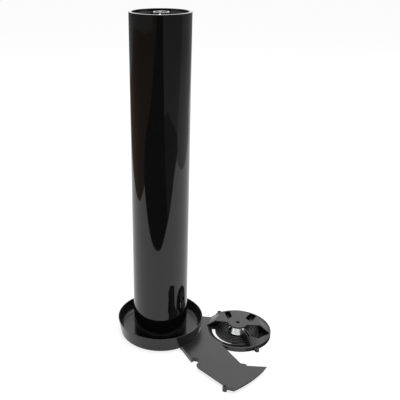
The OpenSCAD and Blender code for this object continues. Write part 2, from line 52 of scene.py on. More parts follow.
# Sides of most lathed pieces, of the wide ones and of a rivet, and where an open profile closes in a pole
SIDES, WIDE_SIDES, RIVET_SIDES = 192, 256, 48
POLE_R, RIVET_POLE_R = 2.0, 0.2

# Hopper and pan
TUBE_R, TUBE_WALL, TUBE_LEN, TUBE_EDGE = 55.0, 5.3, 640.0, 0.6
PAN_H, PAN_WALL, PAN_FLOOR, PAN_CORNER, PAN_EDGE = 32.5, 1.8, 3.0, 4.0, 0.6
TROUGH_W, PAN_FLARE, DISH_GAP, DISH_RISE = 27.5, 5.2, 2.0, 14.0
SPIGOT_H, SPIGOT_WALL = 8.0, 2.0
BORE_R = TUBE_R - TUBE_WALL
TUBE_TOP = PAN_FLOOR + TUBE_LEN
PAN_FOOT_R = TUBE_R + TROUGH_W

# Lid, with its seat and seal
LID_DROP, LID_T, LID_LIP_H, LID_LIP_W = 5.4, 6.0, 0.8, 3.0
SEAT_W, SEAT_H, SEAL_W, PILOT_H, PILOT_WALL = 5.0, 5.0, 2.4, 4.0, 2.0
LID_TURN = math.radians(-8)
LID_TOP = TUBE_TOP - LID_DROP
LID_FOOT = LID_TOP - LID_T
LID_R = BORE_R - 2 * LOOSE_CLEAR
SEAT_IN_R = BORE_R - SEAT_W
SEAL_R = BORE_R - LOOSE_CLEAR
SEAL_IN_R = SEAL_R - SEAL_W
SEAL_FOOT = LID_TOP - LID_T / 2 - SEAL_W / 2
SEAL_TOP = SEAL_FOOT + SEAL_W

# Lift ring, its keeper and rivets
LIFT_R, LIFT_WIRE_R = 13.0, 1.3
KEEPER_W, KEEPER_T, KEEPER_TAIL, KEEPER_EDGE = 4.4, 1.0, 15.0, 0.25
RIVET_R, RIVET_HEAD_R, RIVET_HEAD_H, RIVET_SHANK = 1.1, 2.2, 0.8, 3.0
EYE_BOW = LIFT_R - math.sqrt(LIFT_R ** 2 - (KEEPER_W / 2) ** 2)
EYE_R = LIFT_WIRE_R + EYE_BOW + LOOSE_CLEAR + KEEPER_T
HINGE_Y, HINGE_Z = -3.5, LID_TOP + EYE_R
RIVET_Y = (HINGE_Y - EYE_R - RIVET_HEAD_R, HINGE_Y - KEEPER_TAIL + RIVET_HEAD_R)
RING_Y = HINGE_Y + LIFT_R
RING_MIDDLE = (-RING_Y * math.sin(LID_TURN), RING_Y * math.cos(LID_TURN), HINGE_Z)

# Spinner, in the middle of the head, which lies at a distance and a bearing from the pan's middle
HEAD_REACH, HEAD_BEARING = 161.084, math.radians(-5.4)
HEAD = (HEAD_REACH * math.cos(HEAD_BEARING), HEAD_REACH * math.sin(HEAD_BEARING))
SPINNER_R, SPINNER_FOOT, SPINNER_WEB, SPINNER_FLANGE = 46.0, 1.2, 1.8, 2.0
RIDGE_COUNT, RIDGE_FIRST, RIDGE_W, RIDGE_TOP = 4, 25.7, 2.0, 5.2
HUB_R, HUB_H, SHAFT_R, SCREW_R = 7.0, 3.8, 1.5, 0.95
RECESS_R, RECESS_H, RECESS_ROOF = 3.0, 1.4, 0.6
RIDGES = np.linspace(SPINNER_R - SPINNER_FLANGE - RIDGE_W / 2, RIDGE_FIRST, RIDGE_COUNT)

# Rounding of the edges that the CAD leaves sharp
HEAD_EDGE, CAN_EDGE = 0.3, 0.4


# Shapes

def rounded(corners, loop=True):
    """Points (x, y) of a line with soft corners, and how far each point lies in a corner, 0 to 1.

    A corner (x, y, radius) turns into the parabola P + t(1-s)^2 u + t s^2 v, s from 0 to 1, where u and v
    point to the corners before and after P and t is the length from P at which a circle of that radius
    touches them, or less where a neighbour is near. One more point on each side, `hold` times as far off,
    holds the shading of the flats.
    """
    steps, hold, most_of_side, same_point = 7, 1.3, 0.42, 1e-4
    table = np.asarray(corners, float)
    spot, radius = table[:, :2], table[:, 2]
    back = np.roll(spot, 1, 0) - spot
    ahead = np.roll(spot, -1, 0) - spot
    reach = np.minimum(np.linalg.norm(back, axis=1), np.linalg.norm(ahead, axis=1))
    back /= np.linalg.norm(back, axis=1)[:, None]
    ahead /= np.linalg.norm(ahead, axis=1)[:, None]
    half = np.arccos(np.clip((back * ahead).sum(1), -1, 1)) / 2
    touch = np.minimum(radius / np.tan(half), most_of_side * reach)
    if not loop:
        touch[[0, -1]] = 0
    step = np.linspace(0, 1, steps)
    fall = np.concatenate([[hold], (1 - step) ** 2, [0]])
    rise = np.concatenate([[0], step ** 2, [hold]])
    bend = np.concatenate([[0], 1 - np.abs(2 * step - 1), [0]])
    points = (spot[:, None] + (touch[:, None] * fall)[..., None] * back[:, None]
              + (touch[:, None] * rise)[..., None] * ahead[:, None])
    points = points.reshape(-1, 2)
    edge = np.tile(bend, len(spot))
    keep = np.linalg.norm(points - np.roll(points, 1, 0), axis=1) > same_point
    keep[0] = True
    return points[keep], edge[keep]


def skin(rows, loop, edge=None):
    """Mesh of a grid of points (row, column), which closes round its columns.

    Rows close round as well in a loop. Otherwise the first and the last row close in a pole at their mean.
    A grid whose columns run the other way is passed with them reversed, so that faces point outwards.
    """
    count, across = rows.shape[:2]
    points = rows.reshape(-1, 3)
    index = np.arange(count * across).reshape(count, across)
    beside = np.roll(index, -1, 1)
    if loop:
        low, high = np.arange(count), np.roll(np.arange(count), -1)
    else:
        low, high = np.arange(count - 1), np.arange(1, count)
    faces = np.stack([index[low], beside[low], beside[high], index[high]], -1).reshape(-1, 4).tolist()
    wear = np.repeat(np.zeros(count) if edge is None else edge, across)
    if not loop:
        foot, top = len(points), len(points) + 1
        points = np.concatenate([points, rows[:1].mean(1), rows[-1:].mean(1)])
        wear = np.append(wear, [0, 0])
        faces += np.stack([np.full(across, foot), beside[0], index[0]], -1).tolist()
        faces += np.stack([np.full(across, top), index[-1], beside[-1]], -1).tolist()
    return points, faces, wear


def full_turn(count):
    """Angles of one whole turn in equal steps."""
    return np.arange(count) * (2 * np.pi / count)


def lathe(corners, loop=True, centre=(0, 0), sides=SIDES):
    """Surface of revolution about an upright axis: x = r cos a, y = r sin a, z = z.

    The point (r, z) runs along a soft-cornered profile and the angle a makes one turn.
    """
    profile, edge = rounded(corners, loop)
    turn = full_turn(sides)
    r, z = profile[:, :1], profile[:, 1:]
    rows = np.stack([centre[0] + r * np.cos(turn), centre[1] + r * np.sin(turn), z + 0 * turn], -1)
    return skin(rows, loop, edge)


def hoop(in_r, out_r, foot, top, in_edge, out_edge, sides=SIDES):
    """Lathed ring whose section is a rectangle with soft corners."""
    corners = [(in_r, foot, in_edge), (out_r, foot, out_edge), (out_r, top, out_edge), (in_r, top, in_edge)]
    return lathe(corners, sides=sides)


def joined(*meshes):
    """One mesh of several, their points counted on."""
    starts = np.cumsum([0] + [len(mesh[0]) for mesh in meshes])
    faces = [[int(i + start) for i in face] for mesh, start in zip(meshes, starts) for face in mesh[1]]
    return np.concatenate([mesh[0] for mesh in meshes]), faces, np.concatenate([mesh[2] for mesh in meshes])


def on_lid(mesh):
    """The mesh turned with the lid about the tube's axis."""
    points, faces, edge = mesh
    c, s = math.cos(LID_TURN), math.sin(LID_TURN)
    return points @ np.array([[c, s, 0], [-s, c, 0], [0, 0, 1]]), faces, edge


def stand_for(node, name, data, body, material):
    """An object of a mesh that wears a material, rides on a body and stands for a CAD node."""
    data.materials.clear()
    data.materials.append(material)
    piece = bpy.data.objects.new(name, data)
    scene.collection.objects.link(piece)
    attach(piece, body)
    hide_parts(node)
    return piece


def place(name, mesh, body, material, node):
    """A smooth piece from a mesh in millimetres, which keeps how far each point lies in a corner."""
    points, faces, edge = mesh
    data = bpy.data.meshes.new(name)
    data.from_pydata((points * MM).tolist(), [], faces)
    data.attributes.new("edge", "FLOAT", "POINT").data.foreach_set("value", edge.astype(np.float32))
    data.shade_smooth()
    stand_for(node, name, data, body, material)


def softened(name, node, body, material, width):
    """A merged copy of a CAD node's mesh, its flat faces joined up and its sharp edges rounded."""
    same_point, flat, sharp, bevel_steps = 0.001 * MM, math.radians(0.6), math.radians(28), 2
    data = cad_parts[node].data.copy()
    data.name = name
    work = bmesh.new()
    work.from_mesh(data)
    bmesh.ops.remove_doubles(work, verts=work.verts, dist=same_point)
    bmesh.ops.dissolve_limit(work, angle_limit=flat, verts=work.verts, edges=work.edges)
    work.to_mesh(data)
    work.free()
    data.shade_smooth()
    piece = stand_for(node, name, data, body, material)
    bevel = piece.modifiers.new("round_edges", "BEVEL")
    bevel.width, bevel.segments = width * MM, bevel_steps
    bevel.limit_method, bevel.angle_limit = "ANGLE", sharp
    evened = piece.modifiers.new("flat_faces", "WEIGHTED_NORMAL")
    evened.mode, evened.weight, evened.keep_sharp = "FACE_AREA", 100, True


# Shaders

class Wire:
    """A socket in a node tree. Arithmetic on it adds Math nodes, and node() adds any other node."""

    def __init__(self, tree, socket=None):
        self.tree, self.socket = tree, socket

    def node(self, kind, settings=None, sockets=None, out=0):
        """A node of a type, its settings first and then the values or links of its sockets."""
        made = self.tree.nodes.new("ShaderNode" + kind)
        for name, value in (settings or {}).items():
            setattr(made, name, value)
        for name, value in (sockets or {}).items():
            if isinstance(value, Wire):
                self.tree.links.new(value.socket, made.inputs[name])
            else:
                made.inputs[name].default_value = value
        return Wire(self.tree, made.outputs[out])

    def surface(self, output):
        """Show this shader as the surface of an output node."""
        self.tree.links.new(self.socket, output.inputs["Surface"])

    def maths(self, operation, first, second):
        """A Math node on two values or sockets."""
        return self.node("Math", {"operation": operation}, {0: first, 1: second})

    def __add__(self, other):
        return self.maths("ADD", self, other)

    def __sub__(self, other):
        return self.maths("SUBTRACT", self, other)

    def __rsub__(self, other):
        return self.maths("SUBTRACT", other, self)

    def __mul__(self, other):
        return self.maths("MULTIPLY", self, other)

    __radd__ = __add__
    __rmul__ = __mul__


def fresh(name, world=False):
    """The start of an empty material, or world, and its output node."""
    block = (bpy.data.worlds if world else bpy.data.materials).new(name)
    block.use_nodes = True
    block.node_tree.nodes.clear()
    output = block.node_tree.nodes.new("ShaderNodeOutputWorld" if world else "ShaderNodeOutputMaterial")
    return block, Wire(block.node_tree), output


def grey(level, tint=(1, 1, 1)):
    """A colour of one level, a little tinted."""
    return tuple(level * t for t in tint) + (1,)


class Finish:
    """A Principled material under way: patterns on Object coordinates, then the shader itself."""

    def __init__(self, name):
        self.material, self.wire, self.output = fresh(name)
        self.coords = self.wire.node("TexCoord", out="Object")

    def stretched(self, scale, turn=(0, 0, 0), centre=(0, 0, 0)):
        """Object coordinates about a centre in millimetres, stretched and turned."""
        moved = self.wire.node("VectorMath", {"operation": "SUBTRACT"},
                               {0: self.coords, 1: tuple(c * MM for c in centre)})
        return self.wire.node("Mapping", {"vector_type": "POINT"},
                              {"Vector": moved, "Rotation": turn, "Scale": scale})

    def noise(self, scale, detail=3.0, rough=0.5, coords=None):
        """Noise from 0 to 1, with about `scale` features to the metre."""
        return self.wire.node("TexNoise", {}, {"Vector": coords or self.coords, "Scale": scale,
                                               "Detail": detail, "Roughness": rough})

    def between(self, value, low, high):
        """0 below `low`, 1 above `high`, smooth between."""
        return self.wire.node("MapRange", {"interpolation_type": "SMOOTHSTEP"},
                              {"Value": value, "From Min": low, "From Max": high})

    def worn(self):
        """How far a point lies in a rounded corner, 0 to 1."""
        return self.wire.node("Attribute", {"attribute_name": "edge"}, out="Fac")

    def blend(self, factor, first, second):
        """A colour between two colours. A Mix node names its sockets alike, so these go by number."""
        colour_a, colour_b, result = 6, 7, 2
        return self.wire.node("Mix", {"data_type": "RGBA"},
                              {"Factor": factor, colour_a: first, colour_b: second}, out=result)

    def bump(self, height, strength, distance):
        """A normal from a height pattern, `distance` metres deep."""
        return self.wire.node("Bump", {}, {"Height": height, "Strength": strength, "Distance": distance})

    def shade(self, colour, roughness, normal=None, **constants):
        """The Principled shader of what varies, with its constant sockets set by name."""
        sockets = {"Base Color": colour, "Roughness": roughness}
        if normal:
            sockets["Normal"] = normal
        sockets.update({name.replace("_", " "): value for name, value in constants.items()})
        self.wire.node("BsdfPrincipled", {}, sockets).surface(self.output)
        return self.material


def gloss_pipe():
    """Polished extruded tube: black, with long faint draw lines, a breath of dust and soft waves."""
    f = Finish("gloss_black_pipe")
    lines = f.noise(1.0, 2.0, coords=f.stretched((420, 420, 1.5)))
    dust = f.between(f.noise(900, 2.0), 0.66, 0.74) * f.between(f.noise(14, 3.0), 0.42, 0.7)
    waves = f.noise(1.0, 1.0, coords=f.stretched((16, 16, 5)))
    colour = f.blend(f.noise(9, 3.0), grey(0.0018), grey(0.0034, (1, 1, 1.05)))
    colour = f.blend(dust * 0.25 + f.worn() * 0.1, colour, grey(0.06))
    roughness = 0.025 + lines * 0.035 + dust * 0.2 + f.worn() * 0.12
    normal = f.bump(waves + lines * 0.004, 0.22, 0.0012)
    return f.shade(colour, roughness, normal, IOR=1.49)


def gloss_lid():
    """Glossy moulding: black, with fine handling scratches and dust in patches."""
    f = Finish("gloss_black_lid")
    scratch = f.between(f.noise(1.0, 2.0, coords=f.stretched((900, 40, 900), (0, 0, 0.5))), 0.62, 0.68)
    dust = f.between(f.noise(1100, 2.0), 0.64, 0.72)
    colour = f.blend(f.noise(40, 3.0), grey(0.004), grey(0.008))
    colour = f.blend(dust * 0.06 + f.worn() * 0.12, colour, grey(0.07))
    roughness = 0.03 + scratch * 0.03 + dust * 0.04 + f.worn() * 0.1
    return f.shade(colour, roughness, f.bump(f.noise(120, 2.0), 0.04, 0.0004), IOR=1.49)


def satin_pan():
    """Satin moulding: black, with a soft flow pattern, rub marks and lighter worn corners."""
    f = Finish("pan_black")
    flow = f.noise(1.0, 3.0, coords=f.stretched((26, 26, 60)))
    rubs = f.between(f.noise(1.0, 3.0, coords=f.stretched((180, 30, 120), (0, 0, 0.7))), 0.58, 0.72)
    grain = f.noise(1500, 2.0)
    colour = f.blend(flow, grey(0.008), grey(0.014, (1, 1, 1.04)))
    colour = f.blend(f.worn() * 0.22 + rubs * 0.06, colour, grey(0.075))
    roughness = 0.08 + flow * 0.06 + rubs * 0.06
    return f.shade(colour, roughness, f.bump(grain + flow * 0.8, 0.07, 0.0003), IOR=1.41)


def moulded_head(name, low, high, roughness):
    """Spark-textured moulding: charcoal black, fine even grain, cloudy gloss and dusty speckle."""
    f = Finish(name)
    grain = f.noise(1900, 2.0, 0.6)
    cloud = f.noise(30, 4.0, 0.55)
    speck = f.between(f.noise(700, 2.0), 0.68, 0.76)
    colour = f.blend(cloud, grey(low), grey(high, (1, 1, 1.03)))
    colour = f.blend(speck * 0.2 + f.worn() * 0.2, colour, grey(0.14))
    varied = roughness - 0.05 + cloud * 0.1 + speck * 0.1
    return f.shade(colour, varied, f.bump(grain + cloud * 0.5, 0.25, 0.00025), IOR=1.5)


def soft_rubber():
    """Black rubber: matt, with a fine bloom and pitting."""
    f = Finish("black_rubber")
    bloom = f.noise(160, 4.0)
    pits = f.noise(2600, 2.0)
    colour = f.blend(f.between(bloom, 0.4, 0.75), grey(0.012), grey(0.028))
    return f.shade(colour, 0.55 + bloom * 0.25, f.bump(pits, 0.3, 0.0002), IOR=1.52)


def bright_metal(name, colour, roughness, lines=(1, 1, 1), tarnish=0.25):
    """Plated or ground metal: fine lines one way, soft tarnish clouds and small dark pits."""
    f = Finish(name)
    drawn = f.noise(260, 3.0, coords=f.stretched(lines))
    cloud = f.between(f.noise(110, 4.0), 0.45, 0.72)
    pits = f.between(f.noise(1700, 2.0), 0.7, 0.78)
    shade = tuple(c * 0.45 for c in colour)
    mixed = f.blend(cloud * tarnish + pits * 0.35, colour + (1,), shade + (1,))
    varied = roughness + drawn * 0.12 + cloud * 0.1 + pits * 0.2
    return f.shade(mixed, varied, f.bump(drawn, 0.12, 0.0002), Metallic=1.0)


def plate_with_painted_highlight(name, axis, centre, start, end, dull, bright):
    """Plated steel of one dark level, with a painted highlight that lightens it along an axis.

    The painted highlight brightens it from `start` to `end` millimetres off a centre.
    """
    f = Finish(name)
    along = f.stretched(axis, centre=centre)
    off = f.wire.node("VectorMath", {"operation": "LENGTH"}, {0: along}, out="Value")
    # Painted highlight: the colour lightens from start to end off the centre
    painted_highlight = f.between(off, start * MM, end * MM)
    cloud = f.noise(260, 4.0)
    colour = f.blend(painted_highlight, f.blend(cloud, grey(0.7 * dull), grey(1.3 * dull)), grey(bright))
    return f.shade(colour, 0.12 + cloud * 0.1, f.bump(f.noise(1800, 2.0), 0.1, 0.0002), Metallic=1.0)


def wound_wire():
    """Enamelled copper wire: close turns with a lacquer over them and darker gaps."""
    f = Finish("copper")
    turns = f.wire.node("TexWave", {"wave_type": "BANDS", "bands_direction": "Z"},
                        {"Vector": f.coords, "Scale": 480.0, "Distortion": 1.2, "Detail": 1.0})
    colour = f.blend(turns, (0.12, 0.035, 0.012, 1), (0.5, 0.19, 0.08, 1))
    colour = f.blend(f.noise(300, 3.0) * 0.4, colour, (0.2, 0.06, 0.02, 1))
    return f.shade(colour, 0.24 + f.noise(500, 2.0) * 0.15, f.bump(turns, 0.6, 0.0003),
                   Metallic=0.7, Coat_Weight=0.6)


def stacked_sheet():
    """Core of thin steel sheets: fine level lines, scorched patches and a dull oil film."""
    f = Finish("core_steel")
    sheets = f.wire.node("TexWave", {"wave_type": "BANDS", "bands_direction": "Z"},
                         {"Vector": f.coords, "Scale": 330.0, "Distortion": 0.3})
    stain = f.noise(220, 4.0)
    colour = f.blend(sheets, grey(0.09), grey(0.34))
    colour = f.blend(f.between(stain, 0.5, 0.75) * 0.6, colour, (0.12, 0.08, 0.05, 1))
    return f.shade(colour, 0.3 + stain * 0.25, f.bump(sheets, 0.5, 0.0002), Metallic=0.9)


def pressed_powder(name, low, high, roughness):
    """Pressed powder, as in magnets, brushes and washers: even fine grain, small pits, handled edges."""
    f = Finish(name)
    grain = f.noise(2200, 3.0, 0.65)
    cloud = f.noise(150, 3.0)
    pits = f.between(f.noise(1400, 2.0), 0.66, 0.72)
    colour = f.blend(grain, low + (1,), high + (1,))
    colour = f.blend(pits * 0.4, colour, tuple(c * 0.4 for c in low) + (1,))
    return f.shade(colour, roughness + cloud * 0.2, f.bump(grain - pits * 0.5, 0.3, 0.0002))


pipe_finish = gloss_pipe()
lid_finish = gloss_lid()
pan_finish = satin_pan()
head_finish = moulded_head("head_black", low=0.010, high=0.018, roughness=0.27)
spinner_finish = moulded_head("spinner_black", low=0.006, high=0.010, roughness=0.42)
rubber_finish = soft_rubber()
# Painted highlights: the ring is lighter at its two sides and the keeper strap along its tail, standing for
# glints
ring_finish_painted_highlight = plate_with_painted_highlight("ring_plate_painted_highlight", axis=(1, 0, 0), centre=RING_MIDDLE, start=0.72 * LIFT_R,
                           end=0.95 * LIFT_R, dull=0.2, bright=0.4)
strap_finish_painted_highlight = plate_with_painted_highlight("strap_plate_painted_highlight", axis=(0, 1, 0), centre=(0, 0, 0), start=5.0, end=7.5,
                            dull=0.15, bright=0.85)
wire_finish = bright_metal("bright_wire", (0.82, 0.83, 0.84), roughness=0.08, tarnish=0.15)
can_finish = bright_metal("plated_can", (0.84, 0.85, 0.86), roughness=0.15, lines=(1, 1, 12), tarnish=0.15)
steel_finish = bright_metal("shaft_steel", (0.6, 0.61, 0.62), roughness=0.16, lines=(1, 1, 14))
screw_finish = moulded_head("black_screw", low=0.018, high=0.028, roughness=0.24)
bronze_finish = bright_metal("bronze", (0.42, 0.25, 0.1), roughness=0.32, tarnish=0.5)
brass_finish = bright_metal("tab_brass", (0.6, 0.43, 0.16), roughness=0.2, lines=(6, 1, 1), tarnish=0.4)
copper_finish = bright_metal("commutator_copper", (0.55, 0.24, 0.11), roughness=0.2, lines=(1, 1, 10),
                             tarnish=0.4)
plastic_finish = moulded_head("motor_plastic", low=0.014, high=0.024, roughness=0.4)
ferrite_finish = pressed_powder("ferrite", (0.035, 0.035, 0.038), (0.075, 0.075, 0.08), roughness=0.45)
carbon_finish = pressed_powder("carbon", (0.018, 0.018, 0.018), (0.04, 0.04, 0.04), roughness=0.35)
nylon_finish = pressed_powder("washer_nylon", (0.62, 0.59, 0.48), (0.72, 0.69, 0.57), roughness=0.4)

# CAD nodes that keep their shape and take a finish
for node, finish in {
    "motor_end_plate": plastic_finish,
    "motor_magnets": ferrite_finish,
    "upper_bush": bronze_finish,
    "lower_bush": bronze_finish,
    "brushes": carbon_finish,
    "terminal_tabs": brass_finish,
    "motor_screws": screw_finish,
    "motor_shaft": steel_finish,
    "armature_core": stacked_sheet(),
    "armature_coils": wound_wire(),
    "commutator": copper_finish,
    "thrust_washers": nylon_finish,
    "spinner_screw": steel_finish,
}.items():
    for material_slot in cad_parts[node].material_slots:
        material_slot.material = finish

softened("head_moulding", "head_cover", "head", head_finish, HEAD_EDGE)
softened("motor_drum", "motor_can", "head", can_finish, CAN_EDGE)


# Hopper and pan

def hopper_pipe():
    """Lathed pipe from the pan's floor up, its wall a tall rectangle with eased corners."""
    return hoop(BORE_R, TUBE_R, PAN_FLOOR, TUBE_TOP, TUBE_EDGE, TUBE_EDGE, sides=WIDE_SIDES)


def pan_shell():
    """Lathed pan, whose floor rises to the wall on the parabola A(1-t)^2 + 2Bt(1-t) + Ct^2, t from 1 to 0.

    A lies on the floor by the tube, B where the wall would meet the floor, and C on the wall.
    """
    lean = PAN_FLARE / PAN_H
    rim_r = PAN_FOOT_R + PAN_FLARE
    dish_in_r = TUBE_R + DISH_GAP
    turn_r = PAN_FOOT_R + lean * PAN_FLOOR - PAN_WALL
    wall_r = PAN_FOOT_R + lean * (PAN_FLOOR + DISH_RISE) - PAN_WALL
    dish_steps = 25
    t = np.linspace(1, 0, dish_steps)
    dish_r = dish_in_r * (1 - t) ** 2 + 2 * turn_r * t * (1 - t) + wall_r * t ** 2
    dish_z = PAN_FLOOR + DISH_RISE * t ** 2
    spigot_r = BORE_R - LOOSE_CLEAR
    spigot_in_r = spigot_r - SPIGOT_WALL
    spigot_top = PAN_FLOOR + SPIGOT_H
    fine, soft, eased = 0.3, 0.4, 0.5
    return lathe([
        (POLE_R, 0, 0), (PAN_FOOT_R, 0, PAN_CORNER),
        (rim_r, PAN_H, PAN_EDGE), (rim_r - PAN_WALL, PAN_H, PAN_EDGE),
        *((r, z, 0) for r, z in zip(dish_r, dish_z)),
        (spigot_r, PAN_FLOOR, fine), (spigot_r, spigot_top, eased), (spigot_in_r, spigot_top, eased),
        (spigot_in_r, PAN_FLOOR, soft), (POLE_R, PAN_FLOOR, 0),
    ], loop=False, sides=WIDE_SIDES)


place("hopper_pipe", hopper_pipe(), "hopper", pipe_finish, "hopper_tube")
place("pan_shell", pan_shell(), "pan", pan_finish, "feed_pan")


# Lid with its seat, seal, keeper, rivets and ring

def lid_cap():
    """Lathed lid: a pilot below, a groove for the seal round it and a low lip on top."""
    pilot_r = SEAT_IN_R - 2 * LOOSE_CLEAR
    pilot_in_r = pilot_r - PILOT_WALL
    pilot_foot = LID_FOOT - PILOT_H
    groove_r = SEAL_IN_R - PRESS_CLEAR
    lip_top = LID_TOP + LID_LIP_H
    lip_in_r = LID_R - LID_LIP_W
    crisp, fine, lip_edge, soft = 0.2, 0.3, 0.35, 0.4
    return lathe([
        (POLE_R, LID_FOOT, 0), (pilot_in_r, LID_FOOT, fine), (pilot_in_r, pilot_foot, soft),
        (pilot_r, pilot_foot, soft), (pilot_r, LID_FOOT, fine), (LID_R, LID_FOOT, soft),
        (LID_R, SEAL_FOOT, crisp), (groove_r, SEAL_FOOT, crisp),
        (groove_r, SEAL_TOP, crisp), (LID_R, SEAL_TOP, crisp),
        (LID_R, lip_top, soft), (lip_in_r, lip_top, lip_edge),
        (lip_in_r, LID_TOP, fine), (POLE_R, LID_TOP, 0),
    ], loop=False)


def seat_ring():
    """Lathed ring bonded in the bore, its inner corners eased for the lid."""
    out_r, foot, top = BORE_R - PRESS_CLEAR, LID_FOOT - SEAT_H, LID_FOOT - PRESS_CLEAR
    return hoop(SEAT_IN_R, out_r, foot, top, in_edge=0.5, out_edge=0.2)


def seal_ring():
    """Lathed ring of rubber, nearly round on its outside."""
    return hoop(SEAL_IN_R, SEAL_R, SEAL_FOOT, SEAL_TOP, in_edge=0.3, out_edge=0.9)


def lift_ring():
    """Torus with its seam swollen a little.

    At an angle a from the seam the wire's radius is r(1 + swell exp(-(a / spread)^2)).
    """
    swell, spread, seam = 0.06, 0.1, 0.5 * np.pi
    around_steps, section_steps = 160, 24
    around = full_turn(around_steps)
    section = full_turn(section_steps)
    off = np.abs(np.angle(np.exp(1j * (around - seam))))
    wire = (LIFT_WIRE_R * (1 + swell * np.exp(-(off / spread) ** 2)))[:, None]
    out = LIFT_R + wire * np.cos(section)
    rows = np.stack([out * np.cos(around)[:, None], RING_Y + out * np.sin(around)[:, None],
                     HINGE_Z + wire * np.sin(section)], -1)
    return on_lid(skin(rows[:, ::-1], True))


def keeper_strip():
    """A soft-edged strip section carried along the tail, then round the eye and back on to the tail."""
    mid = EYE_R - KEEPER_T / 2
    tail_steps, eye_steps, eye_end = 11, 48, 1.33 * np.pi
    tail = np.linspace(HINGE_Y - KEEPER_TAIL, HINGE_Y, tail_steps, endpoint=False)
    turn = np.linspace(-0.5 * np.pi, eye_end, eye_steps)
    path = np.concatenate([np.stack([tail, np.full_like(tail, HINGE_Z - mid)], -1),
                           np.stack([HINGE_Y + mid * np.cos(turn), HINGE_Z + mid * np.sin(turn)], -1)])
    along = np.gradient(path, axis=0)
    along /= np.linalg.norm(along, axis=1)[:, None]
    side = np.stack([-along[:, 1], along[:, 0]], -1)
    w, t = KEEPER_W / 2, KEEPER_T / 2
    section, _ = rounded([(x, y, KEEPER_EDGE) for x, y in ((-w, -t), (w, -t), (w, t), (-w, t))])
    rows = np.stack([section[:, 0] + 0 * path[:, :1], path[:, :1] + section[:, 1] * side[:, :1],
                     path[:, 1:] + section[:, 1] * side[:, 1:]], -1)
    return on_lid(skin(rows[:, ::-1], False))


def rivets():
    """Two lathed rivets: a shank in the lid and a low domed head on the keeper."""
    foot, head = LID_TOP - RIVET_SHANK, LID_TOP + KEEPER_T
    crisp, dome, shoulder = 0.1, 0.9, 0.8
    profile = [
        (RIVET_POLE_R, foot, 0), (RIVET_R, foot, crisp), (RIVET_R, head, crisp / 2),
        (RIVET_HEAD_R, head, crisp), (RIVET_HEAD_R * shoulder, head + RIVET_HEAD_H * shoulder, dome),
        (RIVET_POLE_R, head + RIVET_HEAD_H, 0),
    ]
    return on_lid(joined(*(lathe(profile, loop=False, centre=(0, y), sides=RIVET_SIDES) for y in RIVET_Y)))


place("lid_cap", lid_cap(), "lid", lid_finish, "lid_plug")
place("seat_ring", seat_ring(), "hopper", pipe_finish, "lid_seat")
place("seal_ring", seal_ring(), "lid", rubber_finish, "lid_seal")
place("lift_wire_ring", lift_ring(), "ring", ring_finish_painted_highlight, "lift_ring")
place("keeper_strap", keeper_strip(), "lid", strap_finish_painted_highlight, "ring_keeper")
place("keeper_rivet_heads", rivets(), "lid", wire_finish, "keeper_rivets")


# Spinner

def ridged_spinner():
    """Lathed disc: the ridges are steps of its profile, and the hub has a shaft bore and a screw recess."""
    web_top = SPINNER_FOOT + SPINNER_WEB
    hub_top = SPINNER_FOOT + HUB_H
    bore_r, screw_r = SHAFT_R + PRESS_CLEAR, SCREW_R + PRESS_CLEAR
    recess_top = SPINNER_FOOT + RECESS_H
    shaft_foot = recess_top + RECESS_ROOF
    keen, crisp, fine, soft, eased = 0.1, 0.15, 0.3, 0.4, 0.5
    ridge_steps = []
    for middle in RIDGES:
        outside, inside = middle + RIDGE_W / 2, middle - RIDGE_W / 2
        ridge_steps += [(outside, web_top, soft), (outside, RIDGE_TOP, eased),
                        (inside, RIDGE_TOP, eased), (inside, web_top, soft)]
    return lathe([
        (RECESS_R, SPINNER_FOOT, fine), (SPINNER_R, SPINNER_FOOT, eased), (SPINNER_R, web_top, eased),
        *ridge_steps,
        (HUB_R, web_top, soft), (HUB_R, hub_top, soft),
        (bore_r, hub_top, crisp), (bore_r, shaft_foot, keen),
        (screw_r, shaft_foot, keen), (screw_r, recess_top, keen), (RECESS_R, recess_top, keen),
    ], centre=HEAD)


place("ridged_spinner", ridged_spinner(), "spinner", spinner_finish, "spinner_disc")


# Studio

def sheet(name, corners, material):
    """A flat stage sheet through corners in metres."""
    data = bpy.data.meshes.new(name)
    data.from_pydata(corners, [], [list(range(len(corners)))])
    data.materials.append(material)
    card = bpy.data.objects.new(name, data)
    scene.collection.objects.link(card)
    return card


def background_rays(wire):
    """1 for the rays that show the background as it is: those of the camera, of gloss and through glass."""
    kinds = ("Is Camera Ray", "Is Glossy Ray", "Is Transmission Ray")
    return sum(wire.node("LightPath", out=kind) for kind in kinds)


def white_floor():
    """White paper, nearly self-lit to the rays that show it, so that only the object's shadow darkens it."""
    material, wire, output = fresh("white_floor")
    direct = background_rays(wire)
    paper = wire.node("BsdfDiffuse", {}, {"Color": grey(0.88)})
    faint = wire.node("BsdfDiffuse", {}, {"Color": grey(0.3)})
    glow = wire.node("Emission", {}, {"Color": grey(1), "Strength": 0.74})
    seen = wire.node("AddShader", {}, {0: faint, 1: glow})
    wire.node("MixShader", {}, {0: direct, 1: paper, 2: seen}).surface(output)
    return material


def card_paper(name, level, tint=(1, 1, 1)):
    """Matt card of one grey, a little tinted."""
    material, wire, output = fresh(name)
    wire.node("BsdfDiffuse", {}, {"Color": grey(level, tint)}).surface(output)
    return material


def near_paper(name, level, reach):
    """Matt card of one grey that shows only to rays no longer than a reach in metres."""
    material, wire, output = fresh(name)
    paper = wire.node("BsdfDiffuse", {}, {"Color": grey(level)})
    clear = wire.node("BsdfTransparent")
    far = wire.maths("GREATER_THAN", wire.node("LightPath", out="Ray Length"), reach)
    wire.node("MixShader", {}, {0: far, 1: paper, 2: clear}).surface(output)
    return material


def lamp(name, where, aim, size, watts):
    """A square soft lamp that faces a point."""
    light = bpy.data.lights.new(name, "AREA")
    light.size, light.energy = size, watts
    lamp_object = bpy.data.objects.new(name, light)
    lamp_object.location = where
    lamp_object.rotation_euler = (Vector(aim) - Vector(where)).to_track_quat("-Z", "Y").to_euler()
    scene.collection.objects.link(lamp_object)


